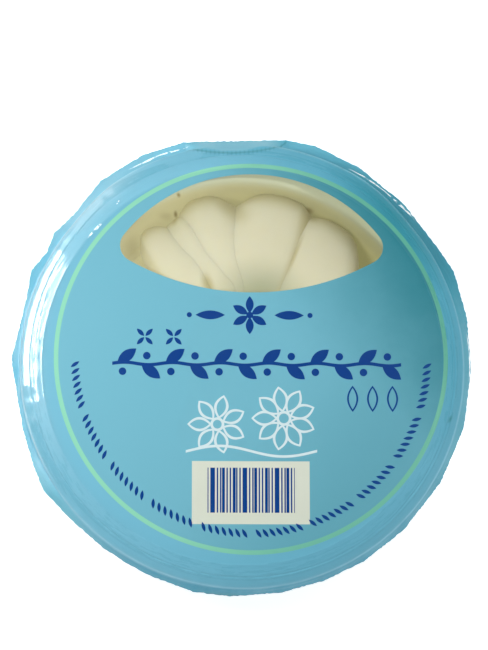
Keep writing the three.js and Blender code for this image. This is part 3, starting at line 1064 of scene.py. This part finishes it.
FLESH_CREAM = (0.60, 0.582, 0.40)
FLESH_PALE = (0.67, 0.652, 0.47)
# Painted shade of the flesh, tan
FLESH_TAN_SHADE = (0.42, 0.370, 0.155)
# Painted shadow of the film below the window, on the scales
FLESH_SHADOW = (0.32, 0.35, 0.21)
FLESH_FIBRE = (0.56, 0.52, 0.33)
# Painted shade in the hollows and grooves between the scales and at their tops
TAN_SHADE_SPOTS = (
    (-3.4, 47.0, 9.0, 5.0, -42, 0.6), (20.3, 45.4, 5.0, 3.0, -35, 0.8), (-10.3, 23.6, 2.6, 5.5, 20, 0.95),
    (-27.5, 42.5, 7.0, 3.2, 35, 0.7), (-20.0, 44.8, 4.0, 1.8, 80, 0.9),
    (15.1, 32.8, 12.0, 1.4, 68, 0.8),
)
# Painted shadow of the film below the window
SHADOW_SPOTS = ((5.4, 20.6, 17.0, 13.0, 0, 1.0),)


def bulb_flesh():
    """Cream, with painted shade: tan where the scales turn down to the tray's wall, in hollows and where one
    goes under the next (there partly a tan of its own), and grey in the film's shadow below the window.
    """
    finish = Finish("bulb_flesh")
    place = finish.place()
    x, y, _ = finish.along(place)
    blotch = finish.cloud(place, 11.0, 4.0)
    fibre = finish.cloud(finish.stretched(place, (1.0, 1.0, 2.2)), 1.6, 4.0, 0.6)
    # Painted shade where the scales turn down to the wall
    turned_down_shade = finish.rise(distance(x - BULB_X, y - BULB_Y) + blotch * 3.0, 40.5, 49.0) * 0.7
    shaded_edge = finish.node("ShaderNodeAttribute", {"attribute_name": "shaded_edge"})["Fac"]
    colour = finish.blend(blotch, FLESH_CREAM, FLESH_PALE)
    colour = finish.blend(fibre * 0.2, colour, FLESH_FIBRE)
    # Painted shadow below the window's edge
    colour = finish.blend(spotted(finish, x, y, SHADOW_SPOTS), colour, FLESH_SHADOW)
    tan = turned_down_shade.over(spotted(finish, x, y, TAN_SHADE_SPOTS), shaded_edge)
    colour = finish.blend(tan, colour, FLESH_TAN_SHADE)
    return finish.surface(
        Base_Color=colour,
        Roughness=0.52 + fibre * 0.15,
        Subsurface_Weight=0.35,
        Subsurface_Radius=(0.006, 0.0045, 0.0025),
        Subsurface_Scale=1.0,
        # A faint painted glow standing in for light scattered inside the flesh
        Emission_Color=(0.72, 0.64, 0.36, 1),
        Emission_Strength=0.08,
        Normal=finish.bump(blotch * 0.8 + fibre * 0.2, 0.5, 0.35),
    )


def plate_cork():
    finish = Finish("basal_plate_cork")
    place = finish.place()
    grain = finish.cloud(place, 1.2, 5.0, 0.7)
    pits = finish.node("ShaderNodeTexVoronoi", None, {"Vector": place, "Scale": 700.0})["Distance"]
    return finish.surface(
        Base_Color=finish.blend(grain, (0.36, 0.25, 0.12), (0.62, 0.52, 0.30)),
        Roughness=0.80 + grain * 0.12,
        Normal=finish.bump(grain + pits, 0.4, 0.7),
    )


# ---- camera, floor and light

FRAME_WIDTH, FRAME_HEIGHT = 488, 650
LENS = 140.0
SENSOR = 36.0
LABEL_SCALE = 0.2906
TILT_FRONT, TILT_LEFT = math.radians(8.5), math.radians(2.5)
AIM_POINT = (0.0, 0.0, 26.0)
AIM_PIXEL = (242.8, 366.0)
AIM_DEPTH = 4.6

# Floor and light; the light inside the pack hangs at the ceiling
FLOOR_HALF, FLOOR_GAP, FLOOR_GLOW = 3.0, 0.0003, 0.80
CEILING = 0.0304
OVERHEAD_LIGHT, HORIZON_LIGHT = 0.11, 0.25


def camera():
    """Looks down on the pack, a little from its near and left side."""
    back = Vector((-math.sin(TILT_LEFT), -math.sin(TILT_FRONT), 0))
    back.z = math.sqrt(1 - back.x ** 2 - back.y ** 2)
    right = Vector((0, 1, 0)).cross(back).normalized()
    up = back.cross(right)
    focal = FRAME_HEIGHT * LENS / SENSOR
    reach = focal * LABEL_SCALE + AIM_DEPTH * back.z
    across = (AIM_PIXEL[0] - FRAME_WIDTH / 2) / focal * reach
    along = (FRAME_HEIGHT / 2 - AIM_PIXEL[1]) / focal * reach
    eye = Vector(AIM_POINT) + back * reach - right * across - up * along
    data = bpy.data.cameras.new("camera")
    data.lens, data.sensor_width = LENS, SENSOR
    data.clip_start, data.clip_end = 0.05, 10
    made = placed("camera", data)
    made.matrix_world = Matrix.Translation(eye * MM) @ Matrix((right, up, back)).transposed().to_4x4()
    bpy.context.scene.camera = made


def floor():
    """A pale floor, just below the pack."""
    finish = Finish("floor_paper")
    shade = finish.cloud(finish.place(), 300.0, 1.0)
    colour = finish.blend(shade * 0.1, (0.62, 0.62, 0.62), (0.60, 0.60, 0.60))
    material = finish.surface(
        Base_Color=colour, Roughness=0.9, Emission_Color=(1, 1, 1, 1), Emission_Strength=FLOOR_GLOW,
    )
    mesh = bpy.data.meshes.new("floor")
    corners = [(x * FLOOR_HALF, y * FLOOR_HALF, 0) for x, y in ((-1, -1), (1, -1), (1, 1), (-1, 1))]
    mesh.from_pydata(corners, [], [(0, 1, 2, 3)])
    mesh.materials.append(material)
    made = placed("floor", mesh)
    made.location.z = -FLOOR_GAP
    return made


def group(name, pieces):
    made = bpy.data.collections.new(name)
    for one in pieces:
        made.objects.link(one)
    return made


def softbox(only_on, name, place, aim, size, watts, glints=False):
    """A soft light that either lights surfaces or only shows as a glint in glossy ones."""
    data = bpy.data.lights.new(name, "AREA")
    data.shape = "RECTANGLE" if isinstance(size, tuple) else "DISK"
    data.size, data.size_y = size if isinstance(size, tuple) else (size, size)
    data.energy = watts
    made = placed(name, data)
    made.location = place
    made.rotation_euler = (Vector(aim) - Vector(place)).to_track_quat("-Z", "Y").to_euler()
    made.visible_camera = False
    made.visible_diffuse = not glints
    made.visible_glossy = glints
    made.light_linking.receiver_collection = only_on


def surroundings():
    """A pale room: dim overhead and bright towards the horizon."""
    studio = Finish("studio", bpy.data.worlds, "ShaderNodeOutputWorld")
    direction = studio.node("ShaderNodeTexCoord")["Generated"]
    height = studio.node("ShaderNodeSeparateXYZ", None, {"Vector": direction})["Z"]
    low = (1 - abs(height)) ** 2
    background = studio.node("ShaderNodeBackground", None, {
        "Color": (1, 1, 1, 1), "Strength": low * HORIZON_LIGHT + OVERHEAD_LIGHT,
    })["Background"]
    bpy.context.scene.world = studio.ended(background)


def lights(outside, inside):
    """Lights for the pack's outside, and others for what is under its film."""
    softbox(outside, "key_light", (-0.11, 0.02, 0.22), (0, 0, 0.03), (0.12, 0.12), 0.335)
    softbox(outside, "right_light", (0.13, 0.03, 0.22), (0, 0, 0.03), (0.12, 0.12), 0.15)
    softbox(outside, "right_fill", (0.33, 0.02, 0.09), (0, 0, 0.02), (0.25, 0.10), 0.12)
    softbox(outside, "far_fill", (0.0, 0.36, 0.09), (0, 0, 0.02), (0.25, 0.10), 0.14)
    softbox(outside, "near_fill", (0.0, -0.36, 0.09), (0, 0, 0.02), (0.25, 0.10), 0.14)
    softbox(inside, "light_through_film", (-0.012, 0.004, CEILING), (-0.012, 0.004, 0), 0.112, 0.0135)
    softbox(inside, "light_through_window", (-0.045, 0.005, 0.16), (0, 0.036, 0.02), 0.06, 0.112)
    softbox(outside, "left_glint", (-0.44, 0.15, 0.31), (0, 0, 0.31), (0.33, 0.45), 11.0, glints=True)
    softbox(outside, "far_left_glint", (-0.36, 0.30, 0.15), (0, 0, 0.15), (0.26, 0.18), 0.45, glints=True)
    surroundings()


# ---- the whole pack

bpy.context.scene.view_settings.view_transform = "Standard"
camera()

flesh = bulb_flesh()
inner_face, cut_edge = film_inside(), film_cut_edge()
outside = [
    floor(),
    lid_film(printed_film(), inner_face, cut_edge),
    window_film(clear_film()),
    base_film(base_film_finish(), inner_face, cut_edge),
]
inside = [
    tray(tray_plastic()),
    *outer_scales(flesh),
    *second_scales(flesh),
    heart_scales(flesh),
    basal_plate(plate_cork()),
]
lights(group("outside", outside), group("inside", inside))
